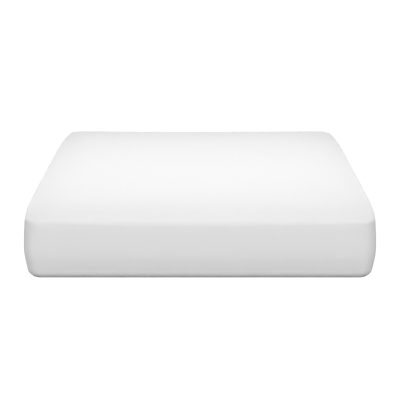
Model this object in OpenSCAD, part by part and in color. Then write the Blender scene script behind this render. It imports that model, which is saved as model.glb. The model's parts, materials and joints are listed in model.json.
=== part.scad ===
// Memory foam mattress: a three-layer foam core in a knitted inner sleeve,
// inside a removable zipped cover.
// +Z is up, X runs across the width, and Y runs along the length.
// The foot end is at -Y and the head end, with the cover's zip, is at +Y.
// The origin is the middle of the underside.

/* [Mattress] */
// Width across the widest line of the border
mattress_w = 1524; // [1300:1:2000]
// Length over the foot and head ends
mattress_l = 2032; // [1700:1:2500]
// Plan radius of the four corners
corner_r = 112; // [80:1:180]
// How far the top rises from the top seam to its flat middle
crown_h = 14; // [12:1:40]
// Distance from a corner's axis to the inner end of the crown's curve
crown_end = 3; // [1:1:30]

/* [Wall shape] */
// Height over which the taper bends into the upright wall
taper_blend = 28; // [10:1:30]
// Inward lean of the lower wall, in degrees
taper_angle = 10.5; // [8:0.1:14]
// Radius of the rounded bottom edge
base_r = 30; // [12:1:36]
// How far the wall has leaned in at the top seam
top_lean = 9; // [0:1:12]

/* [Foam core] */
// Thickness of the memory foam comfort layer
memory_t = 76.2; // [50:0.1:102]
// Thickness of the transition foam layer
transition_t = 50.8; // [38:0.1:76]
// Thickness of the high-density base foam
base_t = 127; // [100:0.1:178]
// Thickness of each adhesive film between two foams
film_t = 0.4; // [0.2:0.1:1]
// Distance of the adhesive film from the foam's edge
film_margin = 12; // [5:1:40]

/* [Cover] */
// Thickness of the top panel's knitted fabric
top_panel_t = 4; // [2.5:0.1:5]
// Thickness of the border's knitted fabric
border_t = 4; // [3.2:0.1:6]
// Thickness of the bottom panel's fabric
bottom_panel_t = 2.4; // [1.8:0.1:4]
// Ease between the border and the inner sleeve, so the cover comes off
cover_ease = 2; // [1.6:0.1:4]

/* [Sewing thread] */
// Radius of the thread that closes the top and bottom edge seams
seam_thread_r = 0.5; // [0.3:0.05:0.7]
// Width of the border's joining thread
join_thread_w = 0.8; // [0.5:0.1:1.2]
// Width of the zip's top-stitching thread
stitch_w = 0.6; // [0.4:0.1:1]
// Distance of the top-stitching from the edge of the zip opening
stitch_margin = 2.5; // [1.5:0.1:4]

/* [Inner sleeve] */
// Thickness of the knitted sleeve
sleeve_t = 1; // [0.6:0.1:2]
// Height of the sewn closing seam at each end of the sleeve
sleeve_seam_h = 4; // [2:0.1:8]
// How far the closing seam stands out from the sleeve
sleeve_seam_proud = 1; // [0.5:0.1:1.5]

/* [Law label] */
// Width of the blank sewn label
label_w = 90; // [50:1:120]
// Height of the blank sewn label
label_h = 55; // [30:1:80]
// Thickness of the label
label_t = 0.5; // [0.3:0.1:1]
// Distance of the label's outer edge from the start of the corner
label_inset = 225; // [20:1:400]
// Upright wall left below and above the label
label_rise = 4; // [2:1:6]

/* [Zip] */
// Distance from the start of a corner to the end of the zip's coils
zip_end_margin = 50; // [36:1:120]
// Straight wall left below and above the zip's tapes
zip_wall_margin = 9; // [4:1:12]
// Gap between the slider and the edges of the zip's opening
opening_play = 1; // [0.5:0.1:2]
// Width of each zip tape
tape_w = 14.5; // [12:0.1:18]
// Thickness of each zip tape
tape_t = 1; // [0.8:0.1:1.2]
// Length of tape past the coils at each end
tape_tail = 20; // [12:1:24]
// Thickness of the coils
coil_t = 2.3; // [1.6:0.1:2.8]
// Width of one coil row
coil_w = 2.4; // [2:0.1:2.8]
// Gap between the two coil rows and between the two tapes
chain_gap = 1; // [0.9:0.1:1.2]
// Length of each stop along the zip
stop_l = 3; // [2:0.1:5]

/* [Slider] */
// Length of the slider body
slider_l = 14; // [11:0.1:18]
// Width of the slider body
slider_w = 10; // [8.2:0.1:12]
// Thickness of the slider's outer and inner plates
slider_plate_t = 1.2; // [1:0.05:1.25]
// Thickness of the post that joins the two plates
post_t = 0.5; // [0.4:0.1:0.6]
// Length of the post along the zip
post_l = 3; // [2:0.1:5]
// Length of the bridge that holds the pull tab
bridge_l = 4.6; // [4.2:0.1:5]
// Width of the bridge
bridge_w = 3; // [2.4:0.1:3.4]
// Radius of the pull tab's pivot bar
pull_bar_r = 0.8; // [0.6:0.05:0.9]
// Radial clearance of the pivot bar in the bridge
pull_bar_play = 0.1; // [0.05:0.01:0.15]
// Wall of the bridge outside the pivot bar
bridge_wall = 0.8; // [0.6:0.1:1]
// Length of the pull tab from its pivot
pull_l = 28; // [20:1:36]
// Width of the pull tab
pull_w = 8; // [7:0.1:10]
// Thickness of the pull tab
pull_t = 1.2; // [0.8:0.1:1.4]
// Length of the eye that the bridge stands in
pull_eye_l = 5; // [4.4:0.1:7]

/* [Fits] */
// Gap between pieces that lie against each other
lay_gap = 0.2; // [0.1:0.05:0.3]
// Running clearance round the slider
slider_play = 0.25; // [0.2:0.05:0.3]
// Clearance between the slider and a stop at the ends of its travel
stop_play = 0.5; // [0.2:0.1:1]

/* [Hidden] */

// Facets of a full turn for the plan corners, and for small round pieces
corner_fn = 96;
small_fn = 32;
// Steps along the bottom edge's arc, the taper's bend and the crown's curve
base_steps = 6;
blend_steps = 4;
crown_steps = 12;
// How far a cutting solid runs past what it cuts
cut = 1;

// Heights of the stack, from the underside up
sleeve_bottom = bottom_panel_t + lay_gap;
base_bottom = sleeve_bottom + sleeve_t + lay_gap;
lower_film_bottom = base_bottom + base_t;
transition_bottom = lower_film_bottom + film_t;
upper_film_bottom = transition_bottom + transition_t;
memory_bottom = upper_film_bottom + film_t;
memory_top = memory_bottom + memory_t;
sleeve_top = memory_top + lay_gap + sleeve_t;
total_h = sleeve_top + lay_gap + top_panel_t;
crease_h = total_h - crown_h;
// Half section's outermost point at the top seam, and how far in from it the crown rises
rim_x = corner_r - top_lean;
crown_run = rim_x - crown_end;

// How far each piece's outer face lies inside the border's, measured level
sleeve_shift = border_t + cover_ease;
core_shift = sleeve_shift + sleeve_t + lay_gap;

// Notches in the border's edges that the seam threads lie in
notch_d = 2 * seam_thread_r + 3 * lay_gap;
notch_h = 2 * (seam_thread_r + lay_gap);

// The zip's own frame: x along the zip, y out of the wall, z up the wall
border_n = border_t * cos(taper_angle);
tape_out = -border_n + tape_t;
coil_out = tape_out + coil_t;
flat_half = mattress_w / 2 - corner_r;
zip_l = 2 * (flat_half - zip_end_margin);
zip_opening_h = slider_w + 2 * opening_play;
opening_l = zip_l + 2 * (stop_play + stop_l + lay_gap);
tape_l = zip_l + 2 * tape_tail;
tape_reach = chain_gap / 2 + tape_w;
coil_reach = chain_gap / 2 + coil_w;
stop_x = zip_l / 2 + stop_play;
plate_out = coil_out + slider_play + slider_plate_t;
plate_in = -border_n - slider_play - slider_plate_t;
slide_end = (zip_l - slider_l) / 2;
bridge_bore_r = pull_bar_r + pull_bar_play;
pivot_y = plate_out + bridge_bore_r + slider_play;
pull_arm_w = (pull_w - bridge_w) / 2 - slider_play;

// The zip lies in the middle of the straight part of the taper, and the taper ends above it
taper_straight = 2 * ((tape_reach + lay_gap) * cos(taper_angle) + zip_wall_margin);
zip_z = base_r + taper_straight / 2;
taper_top = base_r + taper_straight + taper_blend;

// The label lies on the upright wall between the taper and the lean
label_x = flat_half - label_inset - label_w / 2;
label_z = taper_top + label_rise + label_h / 2;
lean_from = label_z + label_h / 2 + label_rise;

// The border's joining seam lies midway between the zip's tape and the corner
join_seam_x = (tape_l / 2 + flat_half) / 2;

// ---- Outline of the wall ----

// Inward distance of the wall from its widest line at height z
function wall_inset(z) = taper_inset(z) + edge_inset(z) + lean_inset(z);

function taper_inset(z) =
    z >= taper_top ? 0
    : z >= taper_top - taper_blend ? tan(taper_angle) * pow(taper_top - z, 2) / (2 * taper_blend)
    : tan(taper_angle) * (taper_top - taper_blend / 2 - z);

function edge_inset(z) = z >= base_r ? 0 : base_r - sqrt(pow(base_r, 2) - pow(base_r - z, 2));

function lean_inset(z) = z <= lean_from ? 0 : top_lean * pow((z - lean_from) / (crease_h - lean_from), 2);

// Heights at which the wall's outline bends
bends = concat(
    [for (i = [1:base_steps]) base_r * pow(i / base_steps, 2)],
    [for (i = [0:blend_steps]) taper_top - taper_blend * (1 - i / blend_steps)],
    [for (i = [0:blend_steps]) lean_from + (crease_h - lean_from) * i / blend_steps]
);

// Points of the wall from height z0 up to z1, set in by shift; x = 0 is the corner's axis
function wall(shift, z0, z1) = [
    for (z = concat([z0], [for (b = bends) if (b > z0 && b < z1) b], [z1]))
        [corner_r - wall_inset(z) - shift, z]
];

// Points of the crown from the wall in to the flat top, set in by shift and down by drop
function crown(shift, drop) = [
    for (i = [1:crown_steps])
        let (a = 90 * i / crown_steps)
            [rim_x - crown_run + (crown_run - shift) * cos(a), crease_h + (crown_h - drop) * sin(a)]
];

function reversed(list) = [for (i = [len(list) - 1:-1:0]) list[i]];

// ---- Building blocks ----

// Sweeps a half section round the plan outline
module swept_round() {
    for (i = [0:3]) {
        across = i % 2 == 0 ? mattress_w : mattress_l;
        along = i % 2 == 0 ? mattress_l : mattress_w;
        rotate([0, 0, 90 * i])
            translate([across / 2 - corner_r, along / 2 - corner_r, 0]) {
                rotate_extrude(angle = 90, $fn = corner_fn)
                    children();
                rotate([90, 0, 0])
                    linear_extrude(along - 2 * corner_r)
                        children();
            }
    }
}

// Block that fills the plan between the corners' axes, from height z0 to z1
module middle_block(z0, z1) {
    translate([-mattress_w / 2 + corner_r, -mattress_l / 2 + corner_r, z0])
        cube([mattress_w - 2 * corner_r, mattress_l - 2 * corner_r, z1 - z0]);
}

// Solid slab with the wall's outline between two heights
module slab(shift, z0, z1) {
    swept_round()
        polygon(concat([[0, z0]], wall(shift, z0, z1), [[0, z1]]));
    middle_block(z0, z1);
}

// Box given by its lowest and highest corners
module box(low, high) {
    translate(low)
        cube(high - low);
}

// Puts its children in the zip's frame on the head end's lower wall
module at_zip() {
    translate([0, mattress_l / 2 - wall_inset(zip_z), zip_z])
        rotate([-taper_angle, 0, 0])
            children();
}

// ---- Cover ----

module cover_top_panel() {
    color("white") {
        swept_round()
            polygon(concat(
                [[rim_x - top_panel_t, crease_h], [rim_x, crease_h]],
                crown(0, 0),
                [[0, total_h], [0, total_h - top_panel_t]],
                reversed(crown(top_panel_t, top_panel_t))
            ));
        middle_block(total_h - top_panel_t, total_h);
    }
}

module border_section() {
    low = bottom_panel_t;
    outer = wall(0, low + notch_h, crease_h - notch_h);
    foot_x = corner_r - wall_inset(low + notch_h) - notch_d;
    head_x = corner_r - wall_inset(crease_h - notch_h) - notch_d;
    polygon(concat(
        [[foot_x, low], [foot_x, low + notch_h]],
        outer,
        [[head_x, crease_h - notch_h], [head_x, crease_h]],
        reversed(wall(border_t, low, crease_h))
    ));
}

module cover_border() {
    color("white")
        difference() {
            swept_round()
                border_section();
            zip_opening();
            label_block(lay_gap, label_t + lay_gap, -cut);
            join_slit(join_thread_w + 2 * lay_gap);
        }
}

// Opening for the coils and slider, and the shallower pocket that the tapes are sewn in
module zip_opening() {
    at_zip() {
        box([-opening_l / 2, -border_n - cut, -zip_opening_h / 2], [opening_l / 2, cut, zip_opening_h / 2]);
        box(
            [-tape_l / 2 - lay_gap, -border_n - cut, -tape_reach - lay_gap],
            [tape_l / 2 + lay_gap, tape_out + lay_gap, tape_reach + lay_gap]
        );
        for (side = [-1, 1])
            mirror([0, 0, side < 0 ? 1 : 0])
                stitch_line(stitch_w + 2 * lay_gap, cut);
    }
}

// The label's outline on the head end, grown by play, between two depths under the border's face
module label_block(play, deep, shallow) {
    box(
        [label_x - label_w / 2 - play, mattress_l / 2 - deep, label_z - label_h / 2 - play],
        [label_x + label_w / 2 + play, mattress_l / 2 - shallow, label_z + label_h / 2 + play]
    );
}

// Slit where the two ends of the border's band meet
module join_slit(w) {
    box(
        [-join_seam_x - w / 2, mattress_l / 2 - corner_r, 0],
        [-join_seam_x + w / 2, mattress_l / 2 + cut, crease_h + cut]
    );
}

module cover_bottom_panel() {
    color("gainsboro")
        slab(0, 0, bottom_panel_t);
}

module law_label() {
    color("ghostwhite")
        label_block(0, label_t + lay_gap / 2, lay_gap / 2);
}

// ---- Sewing thread ----

module top_edge_seam_thread() {
    color("white")
        swept_round()
            translate([corner_r - wall_inset(crease_h - notch_h) - notch_d / 2, crease_h - notch_h / 2])
                circle(r = seam_thread_r, $fn = small_fn);
}

module bottom_edge_seam_thread() {
    low = bottom_panel_t + notch_h / 2;
    color("white")
        swept_round()
            translate([corner_r - wall_inset(bottom_panel_t + notch_h) - notch_d / 2, low])
                circle(r = seam_thread_r, $fn = small_fn);
}

module border_join_thread() {
    low = bottom_panel_t + notch_h;
    high = crease_h - notch_h;
    color("white")
        translate([-join_seam_x - join_thread_w / 2, mattress_l / 2 - corner_r, 0])
            rotate([90, 0, 90])
                linear_extrude(join_thread_w)
                    polygon(concat(wall(lay_gap, low, high), reversed(wall(border_t, low, high))));
}

// One line of top-stitching above the zip, proud of the tape by rise past the wall's face
module stitch_line(w, rise) {
    z = zip_opening_h / 2 + stitch_margin;
    box([-opening_l / 2, tape_out, z - w / 2], [opening_l / 2, rise, z + w / 2]);
}

module zip_stitching() {
    color("white")
        at_zip()
            for (side = [-1, 1])
                mirror([0, 0, side < 0 ? 1 : 0])
                    stitch_line(stitch_w, 0);
}

// ---- Zip ----

module tape() {
    box([-tape_l / 2, -border_n, chain_gap / 2], [tape_l / 2, tape_out, tape_reach]);
}

module zip_upper_tape() {
    color("whitesmoke")
        at_zip()
            tape();
}

module zip_lower_tape() {
    color("whitesmoke")
        at_zip()
            mirror([0, 0, 1])
                tape();
}

// One row of coils: a bar with a rounded outer face
module coil_row() {
    translate([-zip_l / 2, 0, 0])
        rotate([90, 0, 90])
            linear_extrude(zip_l)
                intersection() {
                    translate([tape_out, chain_gap / 2])
                        square([coil_t, coil_w]);
                    translate([tape_out, chain_gap / 2 + coil_w / 2])
                        circle(r = coil_t, $fn = small_fn);
                }
}

module zip_upper_coil() {
    color("white")
        at_zip()
            coil_row();
}

module zip_lower_coil() {
    color("white")
        at_zip()
            mirror([0, 0, 1])
                coil_row();
}

module zip_top_stops() {
    color("silver")
        at_zip()
            for (side = [-1, 1])
                mirror([0, 0, side < 0 ? 1 : 0])
                    box([stop_x, tape_out, chain_gap / 2], [stop_x + stop_l, coil_out, coil_reach]);
}

module zip_bottom_stop() {
    color("silver")
        at_zip()
            box([-stop_x - stop_l, tape_out, -coil_reach], [-stop_x, coil_out, coil_reach]);
}

// Slider body, with its middle at x = 0 of the zip's frame
module slider_shape() {
    half = slider_w / 2;
    rail = coil_reach + slider_play;
    nose = slider_l / 2;
    difference() {
        union() {
            box([-nose, plate_out - slider_plate_t, -half], [nose, plate_out, half]);
            box([-nose, plate_in, -half], [nose, plate_in + slider_plate_t, half]);
            for (side = [-1, 1])
                mirror([0, 0, side < 0 ? 1 : 0])
                    box([-nose, tape_out + slider_play, rail], [nose, plate_out, half]);
            box([nose - post_l, plate_in, -post_t / 2], [nose, plate_out, post_t / 2]);
            bridge();
        }
        translate([0, pivot_y, 0])
            cylinder(r = bridge_bore_r, h = bridge_w + 2 * cut, center = true, $fn = small_fn);
    }
}

// Raised bridge with a round top, bored for the pull tab's pivot bar
module bridge() {
    translate([0, pivot_y, 0])
        cylinder(r = bridge_bore_r + bridge_wall, h = bridge_w, center = true, $fn = small_fn);
    box([-bridge_l / 2, plate_out - slider_plate_t, -bridge_w / 2], [bridge_l / 2, pivot_y, bridge_w / 2]);
}

module zip_slider_body() {
    color("gainsboro")
        at_zip()
            translate([slide_end, 0, 0])
                slider_shape();
}

// Pull tab, with its pivot bar on the z axis and the tab along +x
module pull_shape() {
    bar_l = bridge_w + 2 * slider_play + pull_arm_w;
    cylinder(r = pull_bar_r, h = bar_l, center = true, $fn = small_fn);
    for (side = [-1, 1])
        mirror([0, 0, side < 0 ? 1 : 0])
            pull_arm();
    rotate([90, 0, 0])
        translate([0, 0, -pull_t / 2])
            linear_extrude(pull_t)
                tab_outline();
}

// One arm of the eye, round about the pivot bar
module pull_arm() {
    low = bridge_w / 2 + slider_play;
    box([0, -pull_t / 2, low], [pull_eye_l + cut, pull_t / 2, low + pull_arm_w]);
    translate([0, 0, low])
        cylinder(r = pull_bar_r, h = pull_arm_w, $fn = small_fn);
}

module tab_outline() {
    end_r = pull_w / 2;
    translate([pull_eye_l, -end_r])
        square([pull_l - end_r - pull_eye_l, pull_w]);
    translate([pull_l - end_r, 0])
        circle(r = end_r, $fn = small_fn);
}

module zip_pull_tab() {
    color("gainsboro")
        at_zip()
            translate([slide_end, pivot_y, 0])
                pull_shape();
}

// ---- Inner sleeve ----

module sleeve_section() {
    drop = top_panel_t + lay_gap;
    inner = sleeve_shift + sleeve_t;
    polygon(concat(
        [[0, sleeve_bottom]],
        wall(sleeve_shift, sleeve_bottom, crease_h),
        crown(sleeve_shift, drop),
        [[0, sleeve_top], [0, sleeve_top - sleeve_t]],
        reversed(crown(inner, drop + sleeve_t)),
        reversed(wall(inner, sleeve_bottom + sleeve_t, crease_h)),
        [[0, sleeve_bottom + sleeve_t]]
    ));
}

// The slit at each end of the sleeve that the closing seam fills, or the seam itself
module sleeve_end(play, proud) {
    middle = (sleeve_bottom + crease_h) / 2;
    high = sleeve_seam_h / 2 + play;
    outer = mattress_l / 2 - sleeve_shift;
    box(
        [-flat_half - play, outer - sleeve_t - play, middle - high],
        [flat_half + play, outer + proud, middle + high]
    );
}

module inner_sleeve() {
    color("oldlace")
        difference() {
            union() {
                swept_round()
                    sleeve_section();
                middle_block(sleeve_bottom, sleeve_bottom + sleeve_t);
                middle_block(sleeve_top - sleeve_t, sleeve_top);
            }
            for (turn = [0, 180])
                rotate([0, 0, turn])
                    sleeve_end(lay_gap, cut);
        }
}

module sleeve_head_seam() {
    color("wheat")
        sleeve_end(0, sleeve_seam_proud);
}

module sleeve_foot_seam() {
    color("wheat")
        rotate([0, 0, 180])
            sleeve_end(0, sleeve_seam_proud);
}

// ---- Foam core ----

module memory_foam_layer() {
    drop = total_h - memory_top;
    color("lightsteelblue") {
        swept_round()
            polygon(concat(
                [[0, memory_bottom]],
                wall(core_shift, memory_bottom, crease_h),
                crown(core_shift, drop),
                [[0, memory_top]]
            ));
        middle_block(memory_bottom, memory_top);
    }
}

module upper_adhesive_film() {
    color("khaki")
        slab(core_shift + film_margin, upper_film_bottom, memory_bottom);
}

module transition_foam_layer() {
    color("white")
        slab(core_shift, transition_bottom, upper_film_bottom);
}

module lower_adhesive_film() {
    color("khaki")
        slab(core_shift + film_margin, lower_film_bottom, transition_bottom);
}

module base_foam_layer() {
    color("lightgray")
        slab(core_shift, base_bottom, lower_film_bottom);
}

cover_top_panel();
cover_border();
cover_bottom_panel();
top_edge_seam_thread();
bottom_edge_seam_thread();
border_join_thread();
law_label();
zip_upper_tape();
zip_lower_tape();
zip_upper_coil();
zip_lower_coil();
zip_top_stops();
zip_bottom_stop();
zip_stitching();
zip_slider_body();
zip_pull_tab();
inner_sleeve();
sleeve_head_seam();
sleeve_foot_seam();
memory_foam_layer();
upper_adhesive_film();
transition_foam_layer();
lower_adhesive_film();
base_foam_layer();
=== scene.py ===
"""Memory foam mattress: a three-layer foam core in a knitted sleeve, in a removable zipped cover.

Every piece is in metres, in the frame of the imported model: X across the width, Y along the
length with the zip on the +Y head end, Z up from the underside.
"""
import json
import math

import bmesh
import bpy
import numpy as np
from bpy.props import FloatProperty, FloatVectorProperty, PointerProperty
from mathutils import Matrix, Vector
from mathutils.bvhtree import BVHTree


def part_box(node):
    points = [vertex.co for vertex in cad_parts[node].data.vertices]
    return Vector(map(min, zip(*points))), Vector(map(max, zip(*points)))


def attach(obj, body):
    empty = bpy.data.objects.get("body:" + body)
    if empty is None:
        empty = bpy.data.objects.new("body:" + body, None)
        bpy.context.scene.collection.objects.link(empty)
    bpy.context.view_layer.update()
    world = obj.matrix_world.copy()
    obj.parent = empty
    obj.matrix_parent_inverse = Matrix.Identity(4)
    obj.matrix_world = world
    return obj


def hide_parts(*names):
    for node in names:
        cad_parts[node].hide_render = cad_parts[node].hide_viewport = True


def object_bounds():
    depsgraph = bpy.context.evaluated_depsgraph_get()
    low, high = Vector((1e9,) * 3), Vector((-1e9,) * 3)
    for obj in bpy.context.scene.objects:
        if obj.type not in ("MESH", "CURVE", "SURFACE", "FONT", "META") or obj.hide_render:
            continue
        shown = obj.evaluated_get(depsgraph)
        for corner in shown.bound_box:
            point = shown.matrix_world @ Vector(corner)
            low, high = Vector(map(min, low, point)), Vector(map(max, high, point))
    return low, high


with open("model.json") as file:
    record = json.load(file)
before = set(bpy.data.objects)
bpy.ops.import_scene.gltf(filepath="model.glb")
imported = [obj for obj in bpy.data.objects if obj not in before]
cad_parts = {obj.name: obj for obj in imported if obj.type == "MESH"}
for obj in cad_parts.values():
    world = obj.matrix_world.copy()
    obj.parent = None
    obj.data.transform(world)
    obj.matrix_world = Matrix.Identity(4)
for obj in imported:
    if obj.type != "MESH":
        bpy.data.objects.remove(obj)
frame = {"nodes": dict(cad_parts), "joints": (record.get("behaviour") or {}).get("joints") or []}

bl_info = {
    "name": "Memory foam mattress",
    "version": (1, 0, 0),
    "blender": (4, 5, 0),
    "location": "View3D > Sidebar > Mattress",
    "description": "Builds the cover, zip, sleeve and foam core of a memory foam mattress",
    "category": "Add Mesh",
}

CAD_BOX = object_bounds()
LOW, HIGH = CAD_BOX
WIDTH, LENGTH, HEIGHT = HIGH - LOW
MM = 0.001
BODY = "mattress"
# The zip's own frame: x along the zip, y out of the wall, z up the wall, level with the pull's pivot
PIVOT = next(j for j in frame["joints"] if j["name"] == "pull_swing")
UP_WALL = Vector(PIVOT["axis"]).normalized()
OUT_OF_WALL = UP_WALL.cross(Vector((1, 0, 0)))
ZIP_ORIGIN = Vector((0, PIVOT["pos_m"][1], PIVOT["pos_m"][2]))
ZIP_FRAME = Matrix.Translation(ZIP_ORIGIN) @ Matrix(
    ((1, OUT_OF_WALL.x, UP_WALL.x), (0, OUT_OF_WALL.y, UP_WALL.y), (0, OUT_OF_WALL.z, UP_WALL.z))
).to_4x4()


def linear(code):
    """A colour written as sRGB hex, as linear red, green and blue."""
    parts = [int(code[i:i + 2], 16) / 255 for i in (1, 3, 5)]
    return tuple(c / 12.92 if c <= 0.04045 else ((c + 0.055) / 1.055) ** 2.4 for c in parts)


def length(label, about, value, low=0.0, high=3.0):
    """A property that holds a length in metres."""
    return FloatProperty(name=label, description=about, default=value, min=low, max=high, unit="LENGTH")


def colour(label, about, code):
    """A property that holds a colour, with its default written as sRGB hex."""
    return FloatVectorProperty(
        name=label, description=about, default=linear(code), min=0, max=1, size=3, subtype="COLOR"
    )


class MattressSizes(bpy.types.PropertyGroup):
    """The sewn cover's form and the cut of its cloth"""

    corner: length("Corner radius", "Plan radius of the four corners", 0.050)
    corner_top: length("Corner growth, top", "How much rounder the corner is at the top seam", 0.012)
    corner_base: length("Corner growth, base", "How much rounder the corner is at the floor", 0.020)
    crown: length("Crown", "How far the top rises from its seam to the flat middle", 0.014)
    crown_run: length("Crown run", "How far in from the edge the top goes on rising", 0.125)
    edge_end: length("Edge radius at corners", "Roundness of the top edge near the corners", 0.011)
    edge_mid: length("Edge radius mid-side", "Roundness of the top edge half way along an end", 0.028)
    taper: FloatProperty(
        name="Taper", description="Inward lean of the lower wall", default=math.radians(10.5),
        subtype="ANGLE",
    )
    taper_top: length("Taper top", "Height at which the tapered wall has become upright", 0.1059)
    taper_bend: length("Taper bend", "Height over which the taper bends into the wall", 0.028)
    base_round: length("Base radius", "Radius of the rounded bottom edge", 0.030)
    lean: length("Top lean", "How far the wall leans in at the top seam", 0.0101)
    lean_from: length("Lean from", "Height at which the wall starts to lean in", 0.100)
    bow: length("Side bow", "How far the long sides are drawn in at the corners", 0.0345)
    swell: length("Swell", "How far the cloth puffs out between its seams", 0.003)
    cell: length("Cell", "Size of a mesh cell of the sewn cover", 0.021, 0.01, 0.1)
    cloth: length("Knit thickness", "Thickness of the cover's knitted cloth", 0.0024)
    turn_in: length("Seam allowance", "Width of cloth turned in at the top seam", 0.006)


class MattressColours(bpy.types.PropertyGroup):
    """The finishes' base colours"""

    knit: colour("Cover knit", "Bleached polyester and viscose knit", "#F3F3F3")
    base: colour("Base cloth", "Non-slip cloth of the underside", "#D9DADC")
    thread: colour("Sewing thread", "Spun polyester thread", "#F4F4F2")
    label: colour("Label", "Blank satin label", "#F2F1EE")
    tape: colour("Zip tape", "Woven polyester tape", "#EDEDEB")
    coil: colour("Zip coil", "Extruded nylon coil", "#E9E9E6")
    metal: colour("Slider", "Nickel-plated zinc", "#C9CACB")
    sleeve: colour("Sleeve", "Unbleached inner knit", "#EFEBE0")
    memory: colour("Memory foam", "Gel-tinted memory foam", "#C7D8E8")
    transition: colour("Transition foam", "Plain polyurethane foam", "#F1EEE2")
    core: colour("Base foam", "High-density polyurethane foam", "#D6D3CB")
    adhesive: colour("Adhesive", "Water-based adhesive film", "#E6DFC6")


class ZipSizes(bpy.types.PropertyGroup):
    """The zip's small parts"""

    tooth_pitch: length("Tooth pitch", "Distance between two turns of one coil", 0.0024)
    tooth: length("Tooth width", "Width of one turn of the coil", 0.0015)
    stitch: length("Stitch", "Length of one stitch of the top-stitching", 0.0034)
    stitch_gap: length("Stitch gap", "Cloth showing between two stitches", 0.0008)
    fold: length("Fold radius", "Roundness of the cloth's fold beside the zip", 0.0010)
    metal_edge: length("Metal edge", "Roundness of the slider's cast edges", 0.00025)


def sizes():
    """The sizes of the cover's form and cloth."""
    return bpy.context.scene.mattress_sizes


def colours():
    """The base colours of the finishes."""
    return bpy.context.scene.mattress_colours


def zip_sizes():
    """The sizes of the zip's small parts."""
    return bpy.context.scene.mattress_zip


# ---- The mattress's form ----


def wall_inset(z, s):
    """How far the wall lies in from its widest line at each height."""
    lean_in = math.tan(s.taper)
    bend_low = s.taper_top - s.taper_bend
    taper = np.where(
        z >= s.taper_top,
        0,
        np.where(
            z >= bend_low,
            lean_in * (s.taper_top - z) ** 2 / (2 * s.taper_bend),
            lean_in * (s.taper_top - s.taper_bend / 2 - z),
        ),
    )
    under = s.base_round - np.clip(z, 0, s.base_round)
    edge = s.base_round - np.sqrt(np.maximum(s.base_round ** 2 - under ** 2, 0))
    rise = np.clip((z - s.lean_from) / (HEIGHT - s.crown - s.lean_from), 0, None)
    return taper + edge + s.lean * rise ** 2


def form(points, s, shift=0.0, top=None, crowned=False):
    """Moves the points of a block to the mattress's form, set in by shift.

    Where the block is crowned, its top face becomes the top panel and the rim between them
    becomes the rounded edge.
    """
    p = np.array(points, float)
    half = np.array([WIDTH / 2, LENGTH / 2])
    crease = HEIGHT - s.crown if top is None else top
    z = np.minimum(p[:, 2], crease)
    inside = np.clip(p[:, :2], s.corner - half, half - s.corner)
    out = p[:, :2] - inside
    reach = np.linalg.norm(out, axis=1)
    depth = np.where(
        reach > 0, s.corner - reach, s.corner + (half - s.corner - np.abs(inside)).min(axis=1)
    )
    height = p[:, 2].copy()
    inward = np.zeros(len(p))
    if crowned:
        along = np.abs(p[:, :2]) / half
        ends = (1 - along[:, 0] ** 2) * along[:, 1] ** 6
        sides = (1 - along[:, 1] ** 2) * along[:, 0] ** 6
        soft = s.edge_end + (s.edge_mid - s.edge_end) * (ends + 0.2 * sides)
        on_top = p[:, 2] > crease - 1e-6
        start = crease - soft
        turn = np.where(on_top, 0.5 + 0.5 * depth / soft, 0.5 * (p[:, 2] - start) / soft)
        turn = np.clip(turn, 0, 1) * math.pi / 2
        edge = (on_top & (depth < soft)) | (~on_top & (p[:, 2] > start))
        inward = np.where(edge, soft * (1 - np.cos(turn)), np.where(on_top, depth, 0))
        rise = np.clip((depth - soft) / s.crown_run, 0, 1)
        height = np.where(
            edge, start + soft * np.sin(turn),
            np.where(on_top, crease + s.crown * np.sin(rise * math.pi / 2) ** 0.75, height),
        )
    up = np.clip((z - s.lean_from) / (HEIGHT - s.crown - s.lean_from), 0, 1)
    down = np.clip((s.lean_from - z) / s.lean_from, 0, 1)
    inset = wall_inset(z, s) + shift
    radius = np.maximum(s.corner + s.corner_top * up ** 2 + s.corner_base * down ** 2 - inset, 4 * MM)
    half_now = half[None, :] - inset[:, None]
    centre = inside * (half_now - radius[:, None]) / (half - s.corner)
    scale = radius / s.corner
    near = np.where(reach > 1e-9, np.where(inward > 0, (s.corner - inward) / np.maximum(reach, 1e-9), 1), 0)
    plan = centre + out * (scale * near)[:, None]
    drawn = s.bow * np.abs(plan[:, 1] / half[1]) ** 5.85
    plan[:, 0] -= drawn * plan[:, 0] / half_now[:, 0]
    return np.column_stack([plan, height])


def cut(bm, at, axis):
    """Cuts the whole mesh with a plane square to an axis."""
    normal = Vector((0, 0, 0))
    normal[axis] = 1
    bmesh.ops.bisect_plane(
        bm, geom=bm.verts[:] + bm.edges[:] + bm.faces[:], dist=1e-6, plane_co=normal * at, plane_no=normal
    )


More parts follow.
